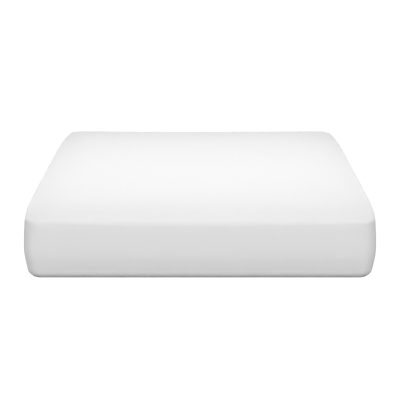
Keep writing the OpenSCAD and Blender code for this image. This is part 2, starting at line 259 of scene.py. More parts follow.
def block(s, low, high, cell, rings=(), heights=(), across=()):
    """A block of the mattress's plan with rounded corners, ringed on top and cut into cells."""
    bm = bmesh.new()
    bmesh.ops.create_cube(bm, size=1)
    bmesh.ops.scale(bm, vec=(WIDTH, LENGTH, high - low), verts=bm.verts)
    bmesh.ops.translate(bm, vec=(0, 0, (low + high) / 2), verts=bm.verts)
    upright = [e for e in bm.edges if abs(e.verts[0].co.z - e.verts[1].co.z) > 1e-6]
    bmesh.ops.bevel(
        bm, geom=upright, offset=s.corner, segments=8, profile=0.5, affect="EDGES", material=-1
    )
    bm.normal_update()
    for side in (-1, 1):
        middle = [f for f in bm.faces if f.normal.z * side > 0.9]
        for width in rings:
            bmesh.ops.inset_region(bm, faces=middle, thickness=width, use_even_offset=True)
    for axis, half in ((0, WIDTH / 2), (1, LENGTH / 2)):
        straight = half - s.corner
        count = max(1, round(2 * straight / cell))
        own = across if axis == 0 else ()
        for at in own:
            cut(bm, at, axis)
        for i in range(count + 1):
            at = straight * (2 * i / count - 1)
            # A cell's line gives way to a line asked for that lies close to it
            if all(abs(at - other) > 0.4 * cell for other in own):
                cut(bm, at, axis)
    for at in heights:
        cut(bm, at, 2)
    bm.normal_update()
    return bm


def round_plan(x, y, s, side):
    """Distance round the plan from the middle of the foot end, positive towards +X."""
    straight_x, straight_y = WIDTH / 2 - s.corner, LENGTH / 2 - s.corner
    quarter = s.corner * math.pi / 2
    cx = min(max(x, -straight_x), straight_x)
    cy = min(max(y, -straight_y), straight_y)
    if y < -straight_y:
        return cx + s.corner * math.atan2(x - cx, cy - y)
    if y > straight_y:
        turned = s.corner * math.atan2(abs(x - cx), y - cy) if abs(x) > straight_x else 0
        return side * (straight_x + 2 * quarter + 2 * straight_y - turned + straight_x - side * cx)
    return side * (straight_x + quarter + y + straight_y)


def move_points(bm, moved):
    """Puts every point of a mesh where an array says."""
    for v, co in zip(bm.verts, moved):
        v.co = co


def points_of(bm):
    """Every point of a mesh, as an array."""
    return np.array([v.co for v in bm.verts], float)


# ---- Pieces ----


def make_piece(bm, name, finish, stands_for=(), body=BODY, smooth=True):
    """Turns a finished bmesh into a piece that rides on a body."""
    mesh = bpy.data.meshes.new(name)
    if smooth:
        for face in bm.faces:
            face.smooth = True
    bm.to_mesh(mesh)
    bm.free()
    piece = bpy.data.objects.new(name, mesh)
    bpy.context.scene.collection.objects.link(piece)
    mesh.materials.clear()
    mesh.materials.append(finish)
    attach(piece, body)
    if stands_for:
        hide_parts(*stands_for)
    return piece


def applied(piece):
    """Replaces a piece's mesh with what its modifiers make of it."""
    bpy.context.view_layer.update()
    shown = piece.evaluated_get(bpy.context.evaluated_depsgraph_get())
    mesh = bpy.data.meshes.new_from_object(shown)
    old = piece.data
    piece.modifiers.clear()
    piece.data = mesh
    mesh.name = piece.name
    bpy.data.meshes.remove(old)
    return piece


def zip_box(node):
    """A CAD node's lowest and highest corners in the zip's own frame."""
    back = ZIP_FRAME.inverted()
    co = np.array([back @ v.co for v in frame["nodes"][node].data.vertices], float)
    return Vector(co.min(0)), Vector(co.max(0))


def bar(low, high, edge=0.0, segments=2):
    """A bar between two corners, with its edges rounded."""
    low, high = Vector(low), Vector(high)
    bm = bmesh.new()
    bmesh.ops.create_cube(bm, size=1)
    bmesh.ops.scale(bm, vec=high - low, verts=bm.verts)
    bmesh.ops.translate(bm, vec=(low + high) / 2, verts=bm.verts)
    if edge:
        bmesh.ops.bevel(
            bm, geom=bm.edges[:], offset=edge, segments=segments, profile=0.5, affect="EDGES", material=-1
        )
    return bm


def joined(*parts):
    """Several bmeshes as one."""
    whole = bmesh.new()
    for part in parts:
        mesh = bpy.data.meshes.new("part")
        part.to_mesh(mesh)
        part.free()
        whole.from_mesh(mesh)
        bpy.data.meshes.remove(mesh)
    return whole


def row_of(bm, count, pitch):
    """Repeats a bmesh count times along x, by doubling it."""
    made = 1
    while made < count:
        more = min(made, count - made)
        unit = len(bm.verts) // made
        bm.verts.ensure_lookup_table()
        verts = bm.verts[:unit * more]
        faces = {f for v in verts for f in v.link_faces}
        edges = {e for v in verts for e in v.link_edges}
        order = sorted(faces, key=lambda f: f.index)
        new = bmesh.ops.duplicate(bm, geom=verts + sorted(edges, key=lambda e: e.index) + order)
        moved = [g for g in new["geom"] if isinstance(g, bmesh.types.BMVert)]
        bmesh.ops.translate(bm, vec=(made * pitch, 0, 0), verts=moved)
        bm.verts.index_update()
        bm.edges.index_update()
        bm.faces.index_update()
        made += more
    return bm


def thread_stitch(long, wide, tall):
    """One lock stitch: a short tube that dips into the cloth at both ends."""
    bm = bmesh.new()
    bmesh.ops.create_cone(
        bm, cap_ends=True, segments=6, radius1=0.5, radius2=0.5, depth=1,
        matrix=Matrix.Rotation(math.pi / 2, 4, "Y"),
    )
    for at in (-0.3, 0.0, 0.3):
        cut(bm, at, 0)
    for v in bm.verts:
        dip = (2 * v.co.x) ** 2
        v.co = Vector((v.co.x * long, v.co.y * wide * (1 - 0.35 * dip), v.co.z * tall - 0.8 * tall * dip))
    return bm


def lay_along(bm, line, out, closed=True):
    """Bends a straight row, x along it and z outwards, onto a line with an outward direction."""
    ring = np.vstack([line, line[:1]]) if closed else line
    outs = np.vstack([out, out[:1]]) if closed else out
    along = np.concatenate([[0], np.cumsum(np.linalg.norm(np.diff(ring, axis=0), axis=1))])
    p = points_of(bm)
    at = np.clip(p[:, 0], 0, along[-1])
    place = np.stack([np.interp(at, along, ring[:, k]) for k in range(3)], axis=1)
    near = np.stack([np.interp(at, along, outs[:, k]) for k in range(3)], axis=1)
    after = np.clip(at + 2 * MM, 0, along[-1])
    before = np.clip(at - 2 * MM, 0, along[-1])
    ahead = np.stack([np.interp(after, along, ring[:, k]) for k in range(3)], axis=1)
    behind = np.stack([np.interp(before, along, ring[:, k]) for k in range(3)], axis=1)
    run = ahead - behind
    run /= np.linalg.norm(run, axis=1)[:, None]
    near /= np.linalg.norm(near, axis=1)[:, None]
    side = np.cross(near, run)
    move_points(bm, place + side * p[:, 1:2] + near * p[:, 2:3])
    return along[-1]


def plan_outline(s, step=4 * MM):
    """Points round the block's outline, a step apart."""
    corners = []
    for cx, cy, start in ((1, -1, -90), (1, 1, 0), (-1, 1, 90), (-1, -1, 180)):
        for i in range(13):
            a = math.radians(start + 7.5 * i)
            corners.append((
                cx * (WIDTH / 2 - s.corner) + s.corner * math.cos(a),
                cy * (LENGTH / 2 - s.corner) + s.corner * math.sin(a),
            ))
    ring = np.array(corners + corners[:1])
    along = np.concatenate([[0], np.cumsum(np.linalg.norm(np.diff(ring, axis=0), axis=1))])
    at = np.arange(0, along[-1] - step / 2, step)
    return np.stack([np.interp(at, along, ring[:, k]) for k in range(2)], axis=1)


# ---- Finishes ----


def add_node(tree, kind, settings=None, inputs=None):
    """Adds a node with its settings, and sets or links its inputs."""
    node = tree.nodes.new(kind)
    for key, value in (settings or {}).items():
        setattr(node, key, value)
    for key, value in (inputs or {}).items():
        if isinstance(value, bpy.types.NodeSocket):
            tree.links.new(value, node.inputs[key])
        else:
            node.inputs[key].default_value = value
    return node


def shader_of(name, **values):
    """A new material with a Principled shader."""
    finish = bpy.data.materials.new(name)
    finish.use_nodes = True
    tree = finish.node_tree
    tree.nodes.clear()
    shader = add_node(tree, "ShaderNodeBsdfPrincipled")
    for key, value in values.items():
        shader.inputs[key.replace("_", " ")].default_value = value
    add_node(tree, "ShaderNodeOutputMaterial", inputs={"Surface": shader.outputs["BSDF"]})
    return finish, tree, shader


def bands(tree, where, pitch, axis, uneven=0.0):
    """Ridges a pitch apart along one axis."""
    return add_node(
        tree, "ShaderNodeTexWave", {"wave_type": "BANDS", "bands_direction": axis},
        {"Vector": where, "Scale": 2 * math.pi / (20 * pitch), "Distortion": uneven, "Detail": 0.0},
    ).outputs["Fac"]


def blended(tree, share, one, two):
    """A share of one socket mixed with another."""
    node = add_node(tree, "ShaderNodeMix", {"data_type": "FLOAT"}, {"Factor": share})
    tree.links.new(one, node.inputs["A"])
    tree.links.new(two, node.inputs["B"])
    return node.outputs["Result"]


def tint(tree, shader, colour_now, by, amount):
    """Varies the base colour by a share, following a pattern."""
    dark = tuple(c * (1 - amount) for c in colour_now)
    mix = add_node(tree, "ShaderNodeMix", {"data_type": "RGBA"}, {"Factor": by})
    mix.inputs["A"].default_value = (*dark, 1)
    mix.inputs["B"].default_value = (*colour_now, 1)
    tree.links.new(mix.outputs["Result"], shader.inputs["Base Color"])


def bump(tree, shader, height, depth):
    """Raises the surface by depth metres where the height is 1."""
    node = add_node(tree, "ShaderNodeBump", inputs={"Height": height, "Distance": depth, "Strength": 1.0})
    tree.links.new(node.outputs["Normal"], shader.inputs["Normal"])


def knit_finish(name, colour_now, wale, course, depth, streak, rough):
    """A weft-knitted cloth: wales along its own V, courses across, on a UV map in metres."""
    finish, tree, shader = shader_of(
        name, Base_Color=(*colour_now, 1), Roughness=rough, IOR=1.45, Sheen_Weight=0.08, Sheen_Roughness=0.5,
        Specular_IOR_Level=0.25,
    )
    cloth = add_node(tree, "ShaderNodeUVMap", {"uv_map": "cloth"}).outputs["UV"]
    wales = bands(tree, cloth, wale, "X", 0.6)
    courses = bands(tree, cloth, course, "Y", 0.4)
    pulled = add_node(tree, "ShaderNodeMapping", inputs={"Vector": cloth, "Scale": (55.0, 2.5, 1.0)})
    streaks = add_node(
        tree, "ShaderNodeTexNoise", {"noise_dimensions": "2D"},
        {"Vector": pulled.outputs["Vector"], "Scale": 1.0, "Detail": 3.0, "Roughness": 0.6},
    ).outputs["Fac"]
    loops = blended(tree, 0.35, wales, courses)
    tint(tree, shader, colour_now, blended(tree, 0.3, streaks, loops), streak)
    bump(tree, shader, loops, depth)
    return finish


def woven_finish(name, colour_now, thread, depth, rough, sheen=0.0):
    """A plain or satin weave read in object coordinates."""
    finish, tree, shader = shader_of(
        name, Base_Color=(*colour_now, 1), Roughness=rough, IOR=1.45, Sheen_Weight=sheen,
        Specular_IOR_Level=0.3,
    )
    where = add_node(tree, "ShaderNodeTexCoord").outputs["Object"]
    warp = bands(tree, where, thread, "X", 0.5)
    weft = bands(tree, where, thread, "Z", 0.5)
    weave = add_node(tree, "ShaderNodeMath", {"operation": "MULTIPLY"}, {0: warp, 1: weft}).outputs[0]
    tint(tree, shader, colour_now, weave, 0.06)
    bump(tree, shader, weave, depth)
    return finish


def foam_finish(name, colour_now, cell, depth, rough, scatter=0.0):
    """Open-cell polyurethane foam: a skinless cut face with fine pores."""
    finish, tree, shader = shader_of(
        name, Base_Color=(*colour_now, 1), Roughness=rough, IOR=1.4, Specular_IOR_Level=0.2,
        Subsurface_Weight=scatter, Subsurface_Scale=4 * MM,
    )
    where = add_node(tree, "ShaderNodeTexCoord").outputs["Object"]
    cells = add_node(
        tree, "ShaderNodeTexVoronoi", {"feature": "DISTANCE_TO_EDGE"}, {"Vector": where, "Scale": 1 / cell}
    ).outputs["Distance"]
    cloud = add_node(
        tree, "ShaderNodeTexNoise", inputs={"Vector": where, "Scale": 9.0, "Detail": 4.0}
    ).outputs["Fac"]
    tint(tree, shader, colour_now, blended(tree, 0.5, cells, cloud), 0.10)
    bump(tree, shader, cells, depth)
    return finish


def thread_finish(name, colour_now, twist):
    """A spun thread: a faint lustre with a slanting ply."""
    finish, tree, shader = shader_of(
        name, Base_Color=(*colour_now, 1), Roughness=0.6, IOR=1.5, Sheen_Weight=0.1,
    )
    where = add_node(tree, "ShaderNodeTexCoord").outputs["Object"]
    plies = bands(tree, where, twist, "DIAGONAL", 0.0)
    tint(tree, shader, colour_now, plies, 0.08)
    bump(tree, shader, plies, 0.06 * MM)
    return finish


def nylon_finish(name, colour_now):
    """An extruded nylon monofilament: a slightly translucent half gloss."""
    finish, tree, shader = shader_of(
        name, Base_Color=(*colour_now, 1), Roughness=0.35, IOR=1.53, Subsurface_Weight=0.15,
        Subsurface_Scale=1 * MM,
    )
    where = add_node(tree, "ShaderNodeTexCoord").outputs["Object"]
    drawn = add_node(
        tree, "ShaderNodeTexNoise", inputs={"Vector": where, "Scale": 700.0, "Detail": 2.0}
    ).outputs["Fac"]
    tint(tree, shader, colour_now, drawn, 0.05)
    bump(tree, shader, drawn, 0.02 * MM)
    return finish


def metal_finish(name, colour_now):
    """Plated die-cast metal, with the uneven gloss that tumbling leaves."""
    finish, tree, shader = shader_of(name, Base_Color=(*colour_now, 1), Metallic=1.0, Roughness=0.28)
    where = add_node(tree, "ShaderNodeTexCoord").outputs["Object"]
    tumbled = add_node(
        tree, "ShaderNodeTexNoise", inputs={"Vector": where, "Scale": 900.0, "Detail": 3.0}
    ).outputs["Fac"]
    worn = add_node(
        tree, "ShaderNodeMapRange", inputs={"Value": tumbled, "To Min": 0.22, "To Max": 0.42}
    ).outputs["Result"]
    tree.links.new(worn, shader.inputs["Roughness"])
    tint(tree, shader, colour_now, tumbled, 0.12)
    bump(tree, shader, tumbled, 0.01 * MM)
    return finish


FINISHES = {}


def finishes():
    """Every finish of the mattress, made once, by name."""
    c = colours()
    if "knit" in FINISHES:
        return FINISHES
    # Bleached polyester-viscose jersey, brushed and matt. Its wales are 1.2 mm apart; they are
    # drawn 4.5 mm apart so that they show, and shallow so that the cloth still reads as smooth.
    FINISHES["knit"] = knit_finish("knit_cover_jersey", c.knit, 4.5 * MM, 3.6 * MM, 0.10 * MM, 0.016, 0.92)
    # Spun-bonded base cloth, coarser and matt, with its threads 1 mm apart drawn at 3 mm
    FINISHES["base"] = woven_finish("base_cloth_nonslip", c.base, 3 * MM, 0.2 * MM, 0.95)
    # Spun polyester sewing thread, with a faint lustre and a twist every 1.2 mm
    FINISHES["thread"] = thread_finish("polyester_thread", c.thread, 1.2 * MM)
    # Satin-woven polyester label, smooth and slightly glossy
    FINISHES["label"] = woven_finish("satin_label", c.label, 0.8 * MM, 0.04 * MM, 0.55, 0.1)
    # Woven polyester zip tape with a 0.9 mm rib
    FINISHES["tape"] = woven_finish("woven_zip_tape", c.tape, 0.9 * MM, 0.1 * MM, 0.8)
    # Extruded nylon monofilament: a smooth, slightly translucent half gloss
    FINISHES["coil"] = nylon_finish("nylon_coil", c.coil)
    # Die-cast zinc with a tumbled, nickel-plated surface
    FINISHES["metal"] = metal_finish("nickel_plated_zinc", c.metal)
    # Unbleached inner sleeve knit, finer than the cover, 1 mm wales drawn at 3.5 mm
    FINISHES["sleeve"] = woven_finish("sleeve_knit", c.sleeve, 3.5 * MM, 0.12 * MM, 0.9)
    # Viscoelastic foam, tinted with gel; cells about 0.6 mm drawn at 2 mm
    FINISHES["memory"] = foam_finish("memory_foam", c.memory, 2 * MM, 0.15 * MM, 0.75, 0.1)
    # Plain resilient polyurethane foam; cells about 0.8 mm drawn at 2.5 mm
    FINISHES["transition"] = foam_finish("transition_foam", c.transition, 2.5 * MM, 0.3 * MM, 0.85)
    # High-density polyurethane foam, the stiffest and coarsest; 1 mm cells drawn at 3 mm
    FINISHES["core"] = foam_finish("base_foam", c.core, 3 * MM, 0.35 * MM, 0.9)
    # Dried water-based adhesive, a mottled translucent film
    FINISHES["adhesive"] = foam_finish("dried_adhesive", c.adhesive, 8 * MM, 0.1 * MM, 0.45)
    return FINISHES


# ---- Cover ----

# Rings of the top panel, inwards from its edge, and the heights at which the border is cut
TOP_RINGS = (0.0015, 0.0025, 0.004, 0.006, 0.008, 0.010, 0.010)
BORDER_LOW = 0.0026
COVER = {}
# The air pressure in the cover, and the steps it is given to settle
AIR = 4.0
SETTLE = 20


def border_heights(s, opening):
    """Heights at which the border is cut: close together where it bends."""
    crease = HEIGHT - s.crown
    low = [0.0036, 0.0055, 0.009, 0.014, 0.021, 0.030, 0.038]
    high = [0.078, 0.092, 0.1059, 0.125, 0.145, 0.165, 0.185, 0.202]
    edge = [crease - d for d in (0.034, 0.024, 0.016, 0.0105, 0.0065, 0.0035, 0.0015)]
    return low + list(opening) + high + edge


def swell_out(piece, normals, cap, held):
    """Puffs the cloth out with a little air, holding the seams, and keeps a capped part of it."""
    scene = bpy.context.scene
    rest = np.array([v.co for v in piece.data.vertices], float)
    group = piece.vertex_groups.new(name="held")
    group.add([int(i) for i in held], 1.0, "REPLACE")
    cloth = piece.modifiers.new("Cloth", "CLOTH")
    cloth.settings.vertex_group_mass = "held"
    cloth.settings.use_pressure = True
    cloth.settings.uniform_pressure_force = AIR
    cloth.settings.effector_weights.gravity = 0.0
    cloth.point_cache.frame_start = 1
    cloth.point_cache.frame_end = SETTLE
    for step in range(1, SETTLE + 1):
        scene.frame_set(step)
    shown = piece.evaluated_get(bpy.context.evaluated_depsgraph_get())
    blown = np.array([v.co for v in shown.data.vertices], float)
    piece.modifiers.remove(cloth)
    piece.vertex_groups.clear()
    scene.frame_set(1)
    moved = blown - rest
    # Tension may not draw the cloth into the sleeve behind it
    inwards = np.minimum((moved * normals).sum(axis=1), 0)
    moved -= normals * inwards[:, None]
    size = np.maximum(np.linalg.norm(moved, axis=1), 1e-9)
    moved *= (cap * np.tanh(size / cap) / size)[:, None]
    piece.data.vertices.foreach_set("co", (rest + moved).astype(np.float32).ravel())
    piece.data.update()


def sewn_cover():
    """The cover's top panel and border as one sewn skin: its faces are marked 0 and 1."""
    s = sizes()
    slider_high = zip_box("zip_slider_body")[1]
    fold = zip_sizes().fold
    opening = slider_high.z + MM + fold
    middle = ZIP_ORIGIN.z
    rise = opening * UP_WALL.z
    # The zip's end is where the cover's form moves it to, so its cut is moved back by as much
    moved_in = form([(0.5, LENGTH / 2, middle)], s)[0][0] / 0.5
    stop_low = (zip_box("zip_bottom_stop")[0].x - 0.2 * MM - fold) / moved_in
    bm = block(
        s, BORDER_LOW, HEIGHT - s.crown, s.cell, TOP_RINGS,
        border_heights(s, (middle - rise, middle, middle + rise)), (stop_low, -stop_low),
    )
    cloth = bm.loops.layers.uv.new("cloth")
    join_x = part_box("border_join_thread")[0].x
    for face in bm.faces:
        centre = face.calc_center_median()
        face.material_index = 0 if face.normal.z > 0.5 else 1 if abs(face.normal.z) < 0.5 else 2
        side = -1 if centre.x < 0 else 1
        if centre.y > 0:
            side = 1 if centre.x > join_x or centre.y < LENGTH / 2 - s.corner and centre.x > 0 else -1
        for loop in face.loops:
            x, y, z = loop.vert.co
            loop[cloth].uv = (x, y) if face.material_index != 1 else (round_plan(x, y, s, side), z)
    bmesh.ops.delete(bm, geom=[f for f in bm.faces if f.material_index == 2], context="FACES")
    bare = points_of(bm)
    crease = HEIGHT - s.crown
    target = form(bare, s, crowned=True)
    half = np.array([WIDTH / 2, LENGTH / 2])
    from_side = (half - np.abs(bare[:, :2])).min(axis=1)
    on_top = bare[:, 2] > crease - 1e-6
    from_seam = np.where(on_top, from_side, np.minimum(crease - bare[:, 2], bare[:, 2] - BORDER_LOW))
    at_zip = (bare[:, 1] > LENGTH / 2 - s.corner) & (bare[:, 2] < middle + 3 * rise)
    held = (from_seam < 1e-4) | at_zip
    move_points(bm, target)
    bm.normal_update()
    slack = s.swell * np.clip(from_seam / 0.05, 0, 1) * ~at_zip
    normals = np.array([v.normal for v in bm.verts], float)
    move_points(bm, target - normals * slack[:, None])
    mesh = bpy.data.meshes.new("sewn")
    bm.to_mesh(mesh)
    bm.free()
    skin = bpy.data.objects.new("sewn", mesh)
    bpy.context.scene.collection.objects.link(skin)
    swell_out(skin, normals, s.swell, np.flatnonzero(held))
    bm = bmesh.new()
    bm.from_mesh(skin.data)
    bpy.data.objects.remove(skin)
    bpy.data.meshes.remove(mesh)
    bm.normal_update()
    return bm


def cover_sheet(whole, keep, name, finish, node):
    """One cut piece of the sewn skin, its seam edge turned in and its surface subdivided once."""
    s = sizes()
    bm = whole.copy()
    rim = bm.verts.layers.float_vector.new("rim")
    top = {v for f in bm.faces if f.material_index == 0 for v in f.verts}
    for v in bm.verts:
        shared = v in top and any(f.material_index == 1 for f in v.link_faces)
        v[rim] = v.normal if shared else Vector((0, 0, 0))
    bmesh.ops.delete(bm, geom=[f for f in bm.faces if f.material_index != keep], context="FACES")
    apart = Vector((0, 0, (0.12 if keep == 0 else -0.12) * MM))
    edges = [e for e in bm.edges if e.is_boundary and all(v[rim].length > 0.5 for v in e.verts)]
    turned = bmesh.ops.extrude_edge_only(bm, edges=edges)
    for v in [g for g in turned["geom"] if isinstance(g, bmesh.types.BMVert)]:
        v.co -= v[rim] * s.turn_in
        v.co += apart
    for face in bm.faces:
        face.material_index = 0
    bmesh.ops.recalc_face_normals(bm, faces=bm.faces)
    piece = make_piece(bm, name, finish, [node])
    smooth = piece.modifiers.new("Subdivision", "SUBSURF")
    smooth.levels = smooth.render_levels = 1
    return applied(piece)


def thickened(piece, thickness):
    """Gives a sheet its thickness, inwards from its outer face."""
    wall = piece.modifiers.new("Solidify", "SOLIDIFY")
    wall.thickness = thickness
    wall.offset = -1.0
    wall.use_even_offset = False
    return applied(piece)


def open_for_zip(piece):
    """Cuts the zip's opening in the border and rolls its edge over."""
    z = zip_sizes()
    slider_high = zip_box("zip_slider_body")[1]
    tall = slider_high.z + MM + z.fold
    long = -zip_box("zip_bottom_stop")[0].x + 0.2 * MM + z.fold
    back = ZIP_FRAME.inverted()
    bm = bmesh.new()
    bm.from_mesh(piece.data)
    gone = []
    for face in bm.faces:
        at = back @ face.calc_center_median()
        if abs(at.x) < long and abs(at.z) < tall and abs(at.y) < 0.02:
            gone.append(face)
    if not gone:
        raise RuntimeError("the border has no faces where the zip's opening goes")
    bmesh.ops.delete(bm, geom=gone, context="FACES")
    rim = []
    for edge in bm.edges:
        at = back @ ((edge.verts[0].co + edge.verts[1].co) / 2)
        inside = abs(at.x) < long + 4 * MM and abs(at.z) < tall + 2 * MM and abs(at.y) < 0.02
        if edge.is_boundary and inside:
            rim.append(edge)
    for v in {v for e in rim for v in e.verts}:
        at = back @ v.co
        if abs(abs(at.z) - tall) < 1.5 * MM:
            at.z = math.copysign(tall, at.z)
        if abs(abs(at.x) - long) < 3 * MM:
            at.x = math.copysign(long, at.x)
        v.co = ZIP_FRAME @ at
    path = [(z.fold * f, z.fold * (1 - math.sqrt(max(0, 1 - f * f)))) for f in (0.5, 0.87, 1.0)]
    path.append((z.fold, sizes().cloth - 0.2 * MM))
    before = (0.0, 0.0)
    for across, deep in path:
        grown = bmesh.ops.extrude_edge_only(bm, edges=rim)["geom"]
        rim = [g for g in grown if isinstance(g, bmesh.types.BMEdge)]
        for v in [g for g in grown if isinstance(g, bmesh.types.BMVert)]:
            at = back @ v.co
            if abs(at.z) > tall - z.fold - 0.3 * MM:
                at.z -= math.copysign(across - before[0], at.z)
            if abs(at.x) > long - z.fold - 0.3 * MM:
                at.x -= math.copysign(across - before[0], at.x)
            at.y -= deep - before[1]
            v.co = ZIP_FRAME @ at
        before = (across, deep)
    for face in bm.faces:
        face.smooth = True
    bm.to_mesh(piece.data)
    bm.free()


class MATTRESS_OT_cover(bpy.types.Operator):
    """Make the cover's top panel and its border, with the opening for the zip"""

    bl_idname = "mattress.cover"
    bl_label = "Cover"

    def execute(self, context):
        s = sizes()
        knit = finishes()["knit"]
        whole = sewn_cover()
        top = cover_sheet(whole, 0, "top_panel", knit, "cover_top_panel")
        border = cover_sheet(whole, 1, "border", knit, "cover_border")
        whole.free()
        open_for_zip(border)
        COVER["wall"] = BVHTree.FromObject(border, bpy.context.evaluated_depsgraph_get())
        thickened(top, s.cloth)
        thickened(border, s.cloth)
        return {"FINISHED"}


class MATTRESS_OT_bottom_panel(bpy.types.Operator):
    """Make the flat, non-slip bottom panel"""

    bl_idname = "mattress.bottom_panel"
    bl_label = "Bottom panel"

    def execute(self, context):
        s = sizes()
        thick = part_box("cover_bottom_panel")[1].z
        bm = block(s, 0.0, thick, 0.12)
        points = points_of(bm)
        moved = form(np.column_stack([points[:, :2], np.full(len(points), BORDER_LOW)]), s)
        moved[:, 2] = points[:, 2]
        move_points(bm, moved)
        rim = [
            e for e in bm.edges
            if abs(e.verts[0].co.z - e.verts[1].co.z) < 1e-7 and e.calc_face_angle(0) > 0.8
        ]
        bmesh.ops.bevel(
            bm, geom=rim, offset=0.7 * MM, segments=2, profile=0.5, affect="EDGES", material=-1
        )
        piece = make_piece(bm, "bottom_panel", finishes()["base"], ["cover_bottom_panel"])
        return {"FINISHED"}


class MATTRESS_OT_seam_threads(bpy.types.Operator):
    """Sew the top and bottom edge seams and the border's joining seam"""

    bl_idname = "mattress.seam_threads"
    bl_label = "Seam threads"

    def execute(self, context):
        s = sizes()
        thread = finishes()["thread"]
        outline = plan_outline(s)
        crease = HEIGHT - s.crown
        for name, z, node, pitch in (
            ("top_seam_stitches", crease, "top_edge_seam_thread", 5.0 * MM),
            ("bottom_seam_stitches", 3.0 * MM, "bottom_edge_seam_thread", 6.0 * MM),
        ):
            block_line = np.column_stack([outline, np.full(len(outline), z)])
            crowned = name.startswith("top")
            line = form(block_line, s, crowned=crowned)
            flat_out = line[:, :2] - form(block_line, s, shift=5 * MM, crowned=crowned)[:, :2]
            out = np.column_stack([flat_out / np.linalg.norm(flat_out, axis=1)[:, None], np.zeros(len(line))])
            out[:, 2] = 1.0 if crowned else -0.2
            out /= np.linalg.norm(out, axis=1)[:, None]
            line -= out * (0.7 * MM if crowned else 0.5 * MM)
            around = np.linalg.norm(np.diff(np.vstack([line, line[:1]]), axis=0), axis=1).sum()
            count = int(around / pitch)
            bm = row_of(thread_stitch(pitch * 0.8, 0.9 * MM, 0.7 * MM), count, around / count)
            bmesh.ops.translate(bm, vec=(pitch / 2, 0, 0), verts=bm.verts)
            lay_along(bm, line, out)
            make_piece(bm, name, thread, [node])
        low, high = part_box("border_join_thread")
        x = (low.x + high.x) / 2
        heights = np.linspace(low.z + 4 * MM, crease - 8 * MM, 120)
        line = form(np.column_stack([np.full(120, x), np.full(120, LENGTH / 2), heights]), s)
        line[:, 0] = x
        line[:, 1] = [wall_hit(x, z) for z in line[:, 2]]
        lean = np.gradient(line[:, 1], line[:, 2])
        out = np.column_stack([np.zeros(120), np.ones(120), -lean])
        out /= np.linalg.norm(out, axis=1)[:, None]
        around = np.linalg.norm(np.diff(line, axis=0), axis=1).sum()
        count = int(around / (4 * MM))
        bm = row_of(thread_stitch(3.2 * MM, 0.8 * MM, 0.6 * MM), count, around / count)
        bmesh.ops.translate(bm, vec=(2 * MM, 0, 0), verts=bm.verts)
        lay_along(bm, line, out, closed=False)
        make_piece(bm, "border_join_stitches", thread, ["border_join_thread"])
        return {"FINISHED"}


def wall_hit(x, z):
    """Where the head end's wall lies, measured along Y."""
    hit = COVER["wall"].ray_cast(Vector((x, LENGTH, z)), Vector((0, -1, 0)))[0]
    if hit is None:
        raise RuntimeError("the head end has no wall there")
    return hit.y


class MATTRESS_OT_label(bpy.types.Operator):
    """Sew the blank label to the head end"""

    bl_idname = "mattress.label"
    bl_label = "Blank label"

    def execute(self, context):
        low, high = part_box("law_label")
        bm = bmesh.new()
        bmesh.ops.create_grid(bm, x_segments=18, y_segments=11, size=0.5)
        for v in bm.verts:
            x = (low.x + high.x) / 2 - v.co.x * (high.x - low.x)
            z = (low.z + high.z) / 2 + v.co.y * (high.z - low.z)
            edge = max(abs(v.co.x), abs(v.co.y))
            lift = 0.25 * MM * (1 - (2 * edge) ** 6)
            v.co = (x, wall_hit(x, z) + 0.12 * MM + lift, z)
        bmesh.ops.recalc_face_normals(bm, faces=bm.faces)
        if sum(f.normal.y for f in bm.faces) < 0:
            bmesh.ops.reverse_faces(bm, faces=bm.faces)
        bmesh.ops.solidify(bm, geom=bm.faces[:], thickness=-0.4 * MM)
        bmesh.ops.recalc_face_normals(bm, faces=bm.faces)
        label = make_piece(bm, "blank_label", finishes()["label"], ["law_label"])
        inset = 3 * MM
        left, right = low.x + inset, high.x - inset
        under, over = low.z + inset, high.z - inset
        corners = [(left, under), (right, under), (right, over), (left, over), (left, under)]
        line = []
        for (x0, z0), (x1, z1) in zip(corners, corners[1:]):
            for i in range(40):
                line.append((x0 + (x1 - x0) * i / 40, 0, z0 + (z1 - z0) * i / 40))
        line = np.array(line)
        line[:, 1] = [wall_hit(x, z) + 0.75 * MM for x, _, z in line]
        out = np.tile((0.0, 1.0, 0.0), (len(line), 1))
        around = np.linalg.norm(np.diff(np.vstack([line, line[:1]]), axis=0), axis=1).sum()
        count = int(around / (3.2 * MM))
        bm = row_of(thread_stitch(2.5 * MM, 0.6 * MM, 0.5 * MM), count, around / count)
        bmesh.ops.translate(bm, vec=(1.6 * MM, 0, 0), verts=bm.verts)
        lay_along(bm, line, out)
        stitches = make_piece(bm, "label_stitches", finishes()["thread"])
        return {"FINISHED"}


# ---- Zip ----


class MATTRESS_OT_zip_tapes(bpy.types.Operator):
    """Weave the two zip tapes"""

    bl_idname = "mattress.zip_tapes"
    bl_label = "Zip tapes"

    def execute(self, context):
        for node in ("zip_upper_tape", "zip_lower_tape"):
            low, high = zip_box(node)
            bm = bar(low, high, 0.3 * MM)
            for share in np.linspace(0.04, 0.96, 24):
                cut(bm, low.z + share * (high.z - low.z), 2)
            for share in np.linspace(0.02, 0.98, 49):
                cut(bm, low.x + share * (high.x - low.x), 0)
            inner = min(abs(low.z), abs(high.z))
            for v in bm.verts:
                across = abs(v.co.z) - inner
                if v.co.y > (low.y + high.y) / 2:
                    # A groove beside the coil and two more across the tape
                    for groove in (3.4 * MM, 9.5 * MM, 11.5 * MM):
                        v.co.y -= 0.22 * MM * math.exp(-((across - groove) / (0.5 * MM)) ** 2)
            bmesh.ops.transform(bm, matrix=ZIP_FRAME, verts=bm.verts)
            name = node.replace("zip_", "").replace("_tape", "") + "_zip_tape"
            piece = make_piece(bm, name, finishes()["tape"], [node])
        return {"FINISHED"}


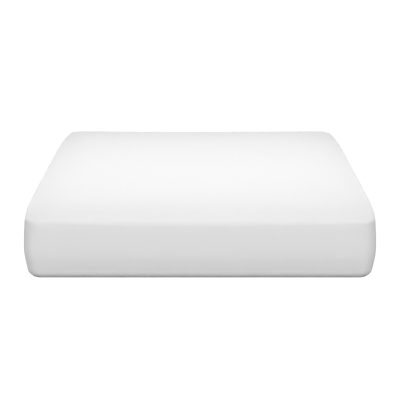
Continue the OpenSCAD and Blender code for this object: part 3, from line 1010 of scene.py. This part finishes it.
class MATTRESS_OT_zip_coils(bpy.types.Operator):
    """Wind the two nylon coils and interlock their turns"""

    bl_idname = "mattress.zip_coils"
    bl_label = "Zip coils"

    def execute(self, context):
        z = zip_sizes()
        for side, node in ((1, "zip_upper_coil"), (-1, "zip_lower_coil")):
            low, high = zip_box(node)
            count = int((high.x - low.x) / z.tooth_pitch) - 1
            head = 0.30 * MM
            far = max(abs(low.z), abs(high.z))
            bm = bmesh.new()
            bmesh.ops.create_cone(
                bm, cap_ends=True, segments=8, radius1=0.5, radius2=0.5, depth=1
            )
            ends = [e for e in bm.edges if e.verts[0].co.z * e.verts[1].co.z > 0 and e.calc_face_angle(0) > 1]
            bmesh.ops.bevel(
                bm, geom=ends, offset=0.16, segments=1, profile=0.5, affect="EDGES", material=-1
            )
            bmesh.ops.scale(bm, vec=(z.tooth, high.y - low.y, far - head), verts=bm.verts)
            bmesh.ops.translate(bm, vec=(0, (low.y + high.y) / 2, side * (far + head) / 2), verts=bm.verts)
            # Each turn slants a little towards the next one
            for v in bm.verts:
                v.co.x += 0.12 * (v.co.z - side * head)
            row_of(bm, count, z.tooth_pitch)
            start = low.x + z.tooth_pitch * (0.5 if side > 0 else 1.0)
            bmesh.ops.translate(bm, vec=(start, 0, 0), verts=bm.verts)
            # The filler cord that the turns are sewn over
            cord_z = side * (far - 0.75 * MM)
            cord = bar(
                (low.x, low.y, min(cord_z, cord_z + side * 0.7 * MM)),
                (high.x, low.y + 1.0 * MM, max(cord_z, cord_z + side * 0.7 * MM)), 0.25 * MM,
            )
            bm = joined(bm, cord)
            bmesh.ops.transform(bm, matrix=ZIP_FRAME, verts=bm.verts)
            name = ("upper" if side > 0 else "lower") + "_coil_turns"
            make_piece(bm, name, finishes()["coil"], [node])
        return {"FINISHED"}


class MATTRESS_OT_zip_stops(bpy.types.Operator):
    """Crimp the stops at both ends of the zip"""

    bl_idname = "mattress.zip_stops"
    bl_label = "Zip stops"

    def execute(self, context):
        low, high = zip_box("zip_top_stops")
        inner = 0.5 * MM
        parts = []
        for side in (1, -1):
            z0, z1 = sorted((side * inner, side * high.z))
            parts.append(bar((low.x, low.y, z0), (high.x, high.y, z1), 0.45 * MM, 3))
        bm = joined(*parts)
        bmesh.ops.transform(bm, matrix=ZIP_FRAME, verts=bm.verts)
        make_piece(bm, "top_stops", finishes()["metal"], ["zip_top_stops"])
        low, high = zip_box("zip_bottom_stop")
        bm = bar(low, high, 0.6 * MM, 3)
        bmesh.ops.transform(bm, matrix=ZIP_FRAME, verts=bm.verts)
        make_piece(bm, "bottom_stop", finishes()["metal"], ["zip_bottom_stop"])
        return {"FINISHED"}


class MATTRESS_OT_zip_stitching(bpy.types.Operator):
    """Top-stitch the border to the zip, above and below its opening"""

    bl_idname = "mattress.zip_stitching"
    bl_label = "Zip stitching"

    def execute(self, context):
        z = zip_sizes()
        low, high = zip_box("zip_stitching")
        parts = []
        pitch = z.stitch + z.stitch_gap
        count = int((high.x - low.x) / pitch)
        for at in (low.z, high.z):
            bm = row_of(thread_stitch(z.stitch, 0.8 * MM, 0.6 * MM), count, pitch)
            for v in bm.verts:
                x, across, out = v.co
                place = ZIP_FRAME @ Vector((low.x + pitch / 2 + x, 0, at))
                y = wall_hit(place.x, place.z)
                level = (ZIP_FRAME.inverted() @ Vector((place.x, y, place.z))).y
                v.co = ZIP_FRAME @ Vector((low.x + pitch / 2 + x, level + out + 0.1 * MM, at + across))
            parts.append(bm)
        bm = joined(*parts)
        bmesh.ops.recalc_face_normals(bm, faces=bm.faces)
        make_piece(bm, "zip_top_stitches", finishes()["thread"], ["zip_stitching"])
        return {"FINISHED"}


class MATTRESS_OT_zip_slider(bpy.types.Operator):
    """Cast the slider that runs on the coils"""

    bl_idname = "mattress.zip_slider"
    bl_label = "Zip slider"

    def execute(self, context):
        edge = zip_sizes().metal_edge
        low, high = zip_box("zip_slider_body")
        middle = (low.x + high.x) / 2
        nose = high.x - middle
        plate = 1.2 * MM
        # The pivot is the zero of the zip's own frame, and the bridge stands round it
        bridge_wide, bore, bridge_wall = 1.5 * MM, 0.9 * MM, 0.8 * MM
        outer = -bore - 0.25 * MM
        parts = []
        for top in (outer, low.y + plate):
            bm = bar((-nose, top - plate, low.z), (nose, top, high.z))
            for v in bm.verts:
                if v.co.x < 0:
                    v.co.z *= 0.84
            upright = [e for e in bm.edges if abs(e.verts[0].co.y - e.verts[1].co.y) > 0.5 * plate]
            bmesh.ops.bevel(
                bm, geom=upright, offset=1.8 * MM, segments=5, profile=0.5, affect="EDGES", material=-1
            )
            rim = [e for e in bm.edges if e.calc_face_angle(0) > 1.0]
            bmesh.ops.bevel(
                bm, geom=rim, offset=edge, segments=2, profile=0.5, affect="EDGES", material=-1
            )
            parts.append(bm)
        rail_low = zip_box("zip_upper_tape")[1].y + 0.25 * MM
        # Each rail's two faces, out from the coils' gap, and how much the rails spread at the nose
        rail_in, rail_out, rail_spread = 3.15 * MM, 4.15 * MM, 0.35 * MM
        for side in (-1, 1):
            z0, z1 = sorted((side * rail_in, side * rail_out))
            rail = bar((-nose + 1.2 * MM, rail_low, z0), (nose - 1.2 * MM, outer - 0.2 * MM, z1), edge)
            for v in rail.verts:
                v.co.z += side * rail_spread * (v.co.x / nose)
            parts.append(rail)
        # The post between the plates, a thin blade in the gap between the two coils
        post_half = 0.25 * MM
        post = bar(
            (nose - 3.2 * MM, low.y + 0.3 * MM, -post_half),
            (nose - 0.2 * MM, outer - 0.3 * MM, post_half), 0.08 * MM,
        )
        parts.append(post)
        ring = bmesh.new()
        bmesh.ops.create_cone(
            ring, cap_ends=False, segments=28, radius1=bore + bridge_wall, radius2=bore + bridge_wall,
            depth=2 * bridge_wide,
        )
        bmesh.ops.recalc_face_normals(ring, faces=ring.faces)
        bmesh.ops.solidify(ring, geom=ring.faces[:], thickness=bridge_wall)
        bmesh.ops.recalc_face_normals(ring, faces=ring.faces)
        parts.append(ring)
        for side in (-1, 1):
            x0, x1 = sorted((side * (bore + 0.1 * MM), side * (bore + bridge_wall + 0.6 * MM)))
            parts.append(bar((x0, outer - 0.3 * MM, -bridge_wide), (x1, 0.1 * MM, bridge_wide), edge))
        bm = joined(*parts)
        bmesh.ops.translate(bm, vec=(middle, 0, 0), verts=bm.verts)
        bmesh.ops.transform(bm, matrix=ZIP_FRAME, verts=bm.verts)
        make_piece(bm, "slider_body", finishes()["metal"], ["zip_slider_body"], "zip_slider")
        return {"FINISHED"}


class MATTRESS_OT_zip_pull(bpy.types.Operator):
    """Stamp the pull tab and hang it on the slider"""

    bl_idname = "mattress.zip_pull"
    bl_label = "Zip pull"

    def execute(self, context):
        high = zip_box("zip_pull_tab")[1]
        at = PIVOT["pos_m"][0]
        half = high.z
        thick = 0.6 * MM
        reach = high.x - at
        eye = 5.0 * MM
        parts = []
        tab = bar((eye, -thick, -half), (reach, thick, half))
        ends = [
            e for e in tab.edges
            if abs(e.verts[0].co.y - e.verts[1].co.y) > thick and e.verts[0].co.x > eye + MM
        ]
        bmesh.ops.bevel(
            tab, geom=ends, offset=half * 0.96, segments=9, profile=0.5, affect="EDGES", material=-1
        )
        tab.normal_update()
        faces = [f for f in tab.faces if abs(f.normal.y) > 0.9]
        # Both faces have a sunk panel inside a raised rim
        rim_wide, step_wide, sunk = 1.1 * MM, 0.25 * MM, 0.22 * MM
        for face in faces:
            bmesh.ops.inset_region(tab, faces=[face], thickness=rim_wide, use_even_offset=True)
            bmesh.ops.inset_region(
                tab, faces=[face], thickness=step_wide, depth=-sunk, use_even_offset=True
            )
        rim = [e for e in tab.edges if e.calc_face_angle(0) > 1.2]
        bmesh.ops.bevel(
            tab, geom=rim, offset=0.22 * MM, segments=2, profile=0.5, affect="EDGES", material=-1
        )
        parts.append(tab)
        arm_low = 1.5 * MM + 0.25 * MM
        for side in (-1, 1):
            z0, z1 = sorted((side * arm_low, side * half))
            parts.append(bar((-0.2 * MM, -thick, z0), (eye + 0.6 * MM, thick, z1), 0.2 * MM))
        pin = bmesh.new()
        bmesh.ops.create_cone(
            pin, cap_ends=True, segments=24, radius1=0.8 * MM, radius2=0.8 * MM, depth=2 * half - 0.2 * MM
        )
        rim = [e for e in pin.edges if e.calc_face_angle(0) > 1.2]
        bmesh.ops.bevel(
            pin, geom=rim, offset=0.15 * MM, segments=2, profile=0.5, affect="EDGES", material=-1
        )
        parts.append(pin)
        bm = joined(*parts)
        bmesh.ops.translate(bm, vec=(at, 0, 0), verts=bm.verts)
        bmesh.ops.transform(bm, matrix=ZIP_FRAME, verts=bm.verts)
        make_piece(bm, "pull_tab", finishes()["metal"], ["zip_pull_tab"], "zip_pull")
        return {"FINISHED"}


# ---- Inside the cover ----


def edged(bm, offset):
    """Softens the cut edges of a slab."""
    rim = [e for e in bm.edges if e.calc_face_angle(0) > 1.0]
    bmesh.ops.bevel(bm, geom=rim, offset=offset, segments=2, profile=0.5, affect="EDGES", material=-1)
    return bm


def inner_slab(node, shift, cell, edge, steps=3):
    """A slab of the mattress's outline between a CAD node's heights, set in by shift."""
    s = sizes()
    low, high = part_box(node)
    heights = [low.z + (high.z - low.z) * i / steps for i in range(1, steps)]
    bm = block(s, low.z, high.z, cell, (), heights)
    move_points(bm, form(points_of(bm), s, shift=shift))
    return edged(bm, edge) if edge else bm


def crowned_block(low, drop, shift, cell):
    """A block that follows the crowned top, set in by shift and down by drop."""
    s = sizes()
    top = HEIGHT - s.crown - drop
    heights = [low + (top - low) * i / 8 for i in range(1, 8)] + [top - d for d in (0.03, 0.015, 0.006)]
    bm = block(s, low, top, cell, (0.003, 0.005, 0.010, 0.020), heights)
    points = points_of(bm)
    moved = form(points, s, shift=shift, top=top, crowned=True)
    under = points[:, 2] < low + 1e-6
    moved[under] = form(points[under], s, shift=shift)
    move_points(bm, moved)
    bmesh.ops.recalc_face_normals(bm, faces=bm.faces)
    return bm


class MATTRESS_OT_foam_core(bpy.types.Operator):
    """Cut the three foam layers and spread the adhesive between them"""

    bl_idname = "mattress.foam_core"
    bl_label = "Foam core"

    def execute(self, context):
        looks = finishes()
        # The foam lies this far in from the cover's outer face, behind the cloth and the sleeve
        gap = 7.6 * MM
        low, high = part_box("memory_foam_layer")
        bm = crowned_block(low.z, HEIGHT - high.z, gap, 0.05)
        memory = make_piece(bm, "memory_foam", looks["memory"], ["memory_foam_layer"])
        for name, node, look, slot in (
            ("transition_foam", "transition_foam_layer", "transition", "transition_foam"),
            ("base_foam", "base_foam_layer", "core", "base_foam"),
        ):
            bm = inner_slab(node, gap, 0.05, 1.5 * MM, 5)
            piece = make_piece(bm, name, looks[look], [node])
        for name, node, under in (
            ("upper_glue_line", "upper_adhesive_film", "transition_foam"),
            ("lower_glue_line", "lower_adhesive_film", "base_foam"),
        ):
            bm = inner_slab(node, gap + 12 * MM, 0.1, 0, 1)
            piece = make_piece(bm, name, looks["adhesive"], [node])
        return {"FINISHED"}


class MATTRESS_OT_inner_sleeve(bpy.types.Operator):
    """Knit the inner sleeve and sew up its two ends"""

    bl_idname = "mattress.inner_sleeve"
    bl_label = "Inner sleeve"

    def execute(self, context):
        low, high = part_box("inner_sleeve")
        bm = crowned_block(low.z, HEIGHT - high.z, 6.1 * MM, 0.06)
        sleeve = make_piece(bm, "inner_sleeve_knit", finishes()["sleeve"], ["inner_sleeve"])
        wall = sleeve.modifiers.new("Solidify", "SOLIDIFY")
        wall.thickness = 0.9 * MM
        wall.offset = -1.0
        applied(sleeve)
        for end in ("head", "foot"):
            name, node = f"sleeve_{end}_stitches", f"sleeve_{end}_seam"
            near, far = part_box(node)
            side = 1 if near.y > 0 else -1
            count = int((far.x - near.x) / (6 * MM)) - 6
            bm = row_of(thread_stitch(5 * MM, far.z - near.z, 1.0 * MM), count, 6 * MM)
            wide = count * 6 * MM
            s = sizes()
            x0 = -wide / 2 + 3 * MM
            z = (near.z + far.z) / 2
            line = np.array([(x0 + wide * i / 200, 0, z) for i in range(201)])
            face = form(np.array([(0.0, LENGTH / 2, z)]), s, shift=6.1 * MM)[0][1]
            line[:, 1] = side * (face + 0.1 * MM)
            out = np.tile((0.0, float(side), 0.0), (len(line), 1))
            lay_along(bm, line, out, closed=False)
            bmesh.ops.recalc_face_normals(bm, faces=bm.faces)
            make_piece(bm, name, finishes()["thread"], [node])
        return {"FINISHED"}


# ---- Stage ----

# Each light: name, place, aim, width, depth, watts, spread in degrees
LIGHTS = (
    ("overhead_strip", (0, 0, 2.2), (0, 0, 0), 5.0, 0.8, 36.0, 180),
    ("foot_strip", (0, -1.2, 2.2), (0, -1.2, 0), 5.0, 0.8, 7.5, 180),
    ("overhead_grid", (0, 0, 1.5), (0, 0, 0), 1.6, 1.9, 1.2, 35),
    ("front_high", (0, -4.0, 2.6), (0, -1.0, 0.1), 4.0, 1.2, 35.3, 180),
    ("front_low", (0, -5.0, 0.5), (0, -1.0, 0.1), 4.0, 0.8, 37.0, 180),
    ("front_left", (-3.6, -4.2, 0.7), (-0.2, -1.0, 0.1), 1.5, 1.0, 48.0, 180),
    ("front_right", (3.6, -4.2, 0.7), (0.2, -1.0, 0.1), 1.5, 1.0, 48.0, 180),
    ("back_high", (0, 4.5, 2.6), (0, 1.0, 0.1), 4.0, 1.2, 74.0, 180),
    ("back_low", (0, 5.0, 0.5), (0, 1.0, 0.1), 4.0, 0.8, 30.0, 180),
    ("side_left", (-4.0, 0, 0.42), (-0.7, 0, 0.1), 3.0, 0.8, 13.0, 180),
    ("side_right", (4.0, 0, 0.42), (0.7, 0, 0.1), 3.0, 0.8, 13.0, 180),
)
WORLD_STRENGTH = 0.12
BOUNCE = "#707070"
# The white of the sweep and backdrop, a little over full white
SWEEP_GLOW = 1.05
# The camera: its lens and sensor in millimetres, its distance and height, and how far it looks down
LENS, SENSOR = 116.14, 36.0
CAMERA_BACK, CAMERA_HEIGHT, CAMERA_TILT = 5.142, 1.6009, 0.2399


class MATTRESS_OT_stage(bpy.types.Operator):
    """Set up the pale floor, the soft studio light and the camera"""

    bl_idname = "mattress.stage"
    bl_label = "Stage"

    def execute(self, context):
        scene = context.scene
        scene.view_settings.view_transform = "Standard"
        scene.view_settings.look = "None"
        white, tree, _ = shader_of("studio_white")
        tree.nodes.clear()
        glow = add_node(tree, "ShaderNodeEmission", inputs={"Color": (1, 1, 1, 1), "Strength": SWEEP_GLOW})
        add_node(tree, "ShaderNodeOutputMaterial", inputs={"Surface": glow.outputs["Emission"]})
        grey, _, _ = shader_of("studio_floor", Base_Color=(*linear(BOUNCE), 1), Roughness=0.9)
        shapes = []
        for name, height in (("studio_floor", -0.5 * MM), ("studio_sweep", -1.0 * MM)):
            bm = bmesh.new()
            bmesh.ops.create_circle(bm, cap_ends=True, segments=64, radius=45.0)
            bmesh.ops.translate(bm, vec=(0, 0, height), verts=bm.verts)
            shapes.append((name, bm))
        bm = bmesh.new()
        bmesh.ops.create_icosphere(bm, subdivisions=4, radius=46.0)
        bmesh.ops.reverse_faces(bm, faces=bm.faces)
        shapes.append(("studio_backdrop", bm))
        for name, bm in shapes:
            mesh = bpy.data.meshes.new(name)
            bm.to_mesh(mesh)
            bm.free()
            piece = bpy.data.objects.new(name, mesh)
            scene.collection.objects.link(piece)
            lit = name == "studio_floor"
            mesh.materials.append(grey if lit else white)
            # The white sweep is only seen, and the grey floor only bounces light
            piece.visible_camera = not lit
            for ray in ("diffuse", "glossy", "transmission", "shadow"):
                setattr(piece, "visible_" + ray, lit)
        for name, place, aim, wide, deep, power, spread in LIGHTS:
            lamp = bpy.data.lights.new(name, "AREA")
            lamp.shape = "RECTANGLE"
            lamp.size, lamp.size_y, lamp.energy = wide, deep, power
            lamp.spread = math.radians(spread)
            light = bpy.data.objects.new(name, lamp)
            light.location = place
            light.rotation_euler = (Vector(aim) - Vector(place)).to_track_quat("-Z", "Y").to_euler()
            light.visible_camera = False
            scene.collection.objects.link(light)
        world = bpy.data.worlds.new("studio_air")
        world.use_nodes = True
        air = world.node_tree.nodes["Background"]
        air.inputs["Color"].default_value = (1, 1, 1, 1)
        air.inputs["Strength"].default_value = WORLD_STRENGTH
        scene.world = world
        # A long lens five metres off the foot end, looking a little down
        lens = bpy.data.cameras.new("camera")
        lens.lens, lens.sensor_width = LENS, SENSOR
        lens.clip_start, lens.clip_end = 0.1, 200.0
        camera = bpy.data.objects.new("camera", lens)
        camera.location = (0, LOW.y - CAMERA_BACK, CAMERA_HEIGHT)
        camera.rotation_euler = (math.pi / 2 - CAMERA_TILT, 0, 0)
        scene.collection.objects.link(camera)
        scene.camera = camera
        return {"FINISHED"}


class MATTRESS_PT_panel(bpy.types.Panel):
    """The mattress's sizes, colours and pieces"""

    bl_idname = "MATTRESS_PT_panel"
    bl_label = "Memory foam mattress"
    bl_space_type = "VIEW_3D"
    bl_region_type = "UI"
    bl_category = "Mattress"

    def draw(self, context):
        for group in ("mattress_sizes", "mattress_colours", "mattress_zip"):
            values = getattr(context.scene, group)
            box = self.layout.box()
            for key in values.__annotations__:
                box.prop(values, key)
        for operator in OPERATORS:
            self.layout.operator(operator.bl_idname)


OPERATORS = (
    MATTRESS_OT_stage,
    MATTRESS_OT_foam_core,
    MATTRESS_OT_inner_sleeve,
    MATTRESS_OT_bottom_panel,
    MATTRESS_OT_cover,
    MATTRESS_OT_seam_threads,
    MATTRESS_OT_label,
    MATTRESS_OT_zip_tapes,
    MATTRESS_OT_zip_coils,
    MATTRESS_OT_zip_stops,
    MATTRESS_OT_zip_stitching,
    MATTRESS_OT_zip_slider,
    MATTRESS_OT_zip_pull,
)
GROUPS = (
    ("mattress_sizes", MattressSizes),
    ("mattress_colours", MattressColours),
    ("mattress_zip", ZipSizes),
)


def register():
    """Registers the property groups, the operators and the panel."""
    for name, group in GROUPS:
        bpy.utils.register_class(group)
        setattr(bpy.types.Scene, name, PointerProperty(type=group))
    for item in (*OPERATORS, MATTRESS_PT_panel):
        bpy.utils.register_class(item)


def unregister():
    """Takes away what register added."""
    for item in reversed((*OPERATORS, MATTRESS_PT_panel)):
        bpy.utils.unregister_class(item)
    for name, group in reversed(GROUPS):
        delattr(bpy.types.Scene, name)
        bpy.utils.unregister_class(group)


def main():
    """Builds the whole mattress."""
    register()
    for operator in OPERATORS:
        family, action = operator.bl_idname.split(".")
        getattr(getattr(bpy.ops, family), action)()


if __name__ == "__main__":
    main()
